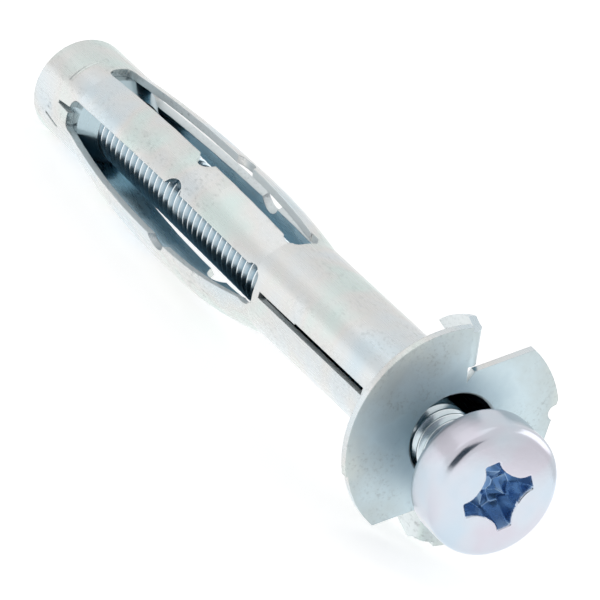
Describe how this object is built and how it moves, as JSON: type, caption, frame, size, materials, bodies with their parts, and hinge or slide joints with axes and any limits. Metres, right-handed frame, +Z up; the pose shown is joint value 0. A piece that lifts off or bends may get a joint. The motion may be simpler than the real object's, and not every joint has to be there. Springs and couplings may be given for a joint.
{
  "type": "hollow wall anchor",
  "caption": "Expanding metal anchor for hollow walls: slotted, pre-bent sleeve with clawed flange, captive nut and pan head machine screw.",
  "frame": {"origin": "on the anchor's axis, at the flange's seating face, where the wall's surface comes", "axes": "+X along the axis toward the screw's head, so the sleeve runs toward -X; +Z up, through the middle of one claw gap of the flange, as the anchor lies; +Y to the left seen from behind the head"},
  "size_m": [0.0665, 0.0165, 0.0166],
  "materials": {
    "sleeve": "zinc plated, rolled and stamped",
    "nut": "zinc plated",
    "screw": "zinc plated, cold headed"
  },
  "bodies": {
    "anchor": {"sleeve": "sleeve", "nut": "nut"},
    "screw": {"screw": "screw"}
  },
  "joints": [
    {"name": "screw_feed", "type": "slide", "parent": "anchor", "child": "screw", "axis": [0.9999, 0, -0.014], "range_m": [-0.0036, 0.005]}
  ]
}
